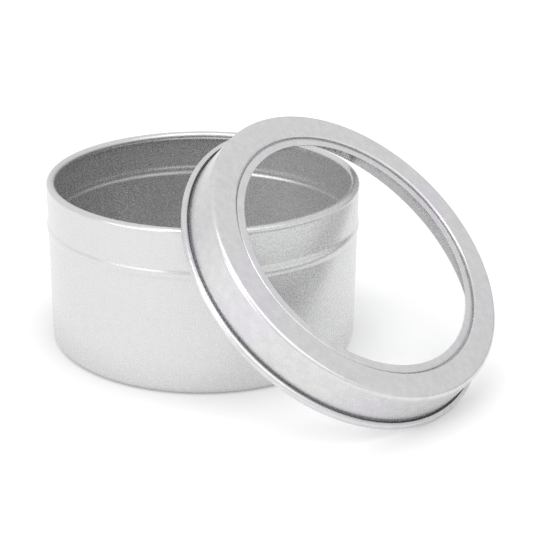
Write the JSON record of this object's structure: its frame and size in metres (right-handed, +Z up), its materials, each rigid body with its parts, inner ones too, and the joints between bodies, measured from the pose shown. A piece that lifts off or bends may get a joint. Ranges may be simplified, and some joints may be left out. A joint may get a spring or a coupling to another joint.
{
  "type": "window lid tin",
  "caption": "Round silver slip-lid tin, rim rolled inward, with its clear-window lid off and leaning on the rim.",
  "frame": {"origin": "middle of the tin's flat base, on the table", "axes": "+Z up along the tin's axis, +X the way the lid leans, away from the tin"},
  "size_m": [0.1253, 0.0882, 0.0632],
  "materials": {
    "tinplate": "satin bright tin plate, unlacquered and unprinted",
    "bond": "clear hot-melt bond line",
    "window": "clear flat polyester sheet"
  },
  "bodies": {
    "tin": {"tin_body": "tinplate"},
    "lid": {"lid_shell": "tinplate", "window_bond": "bond", "window_pane": "window"}
  },
  "joints": [
    {"name": "lid_lift", "type": "slide", "parent": "tin", "child": "lid", "axis": [0.6428, 0, 0.766], "range_m": [0, 0.06]}
  ]
}
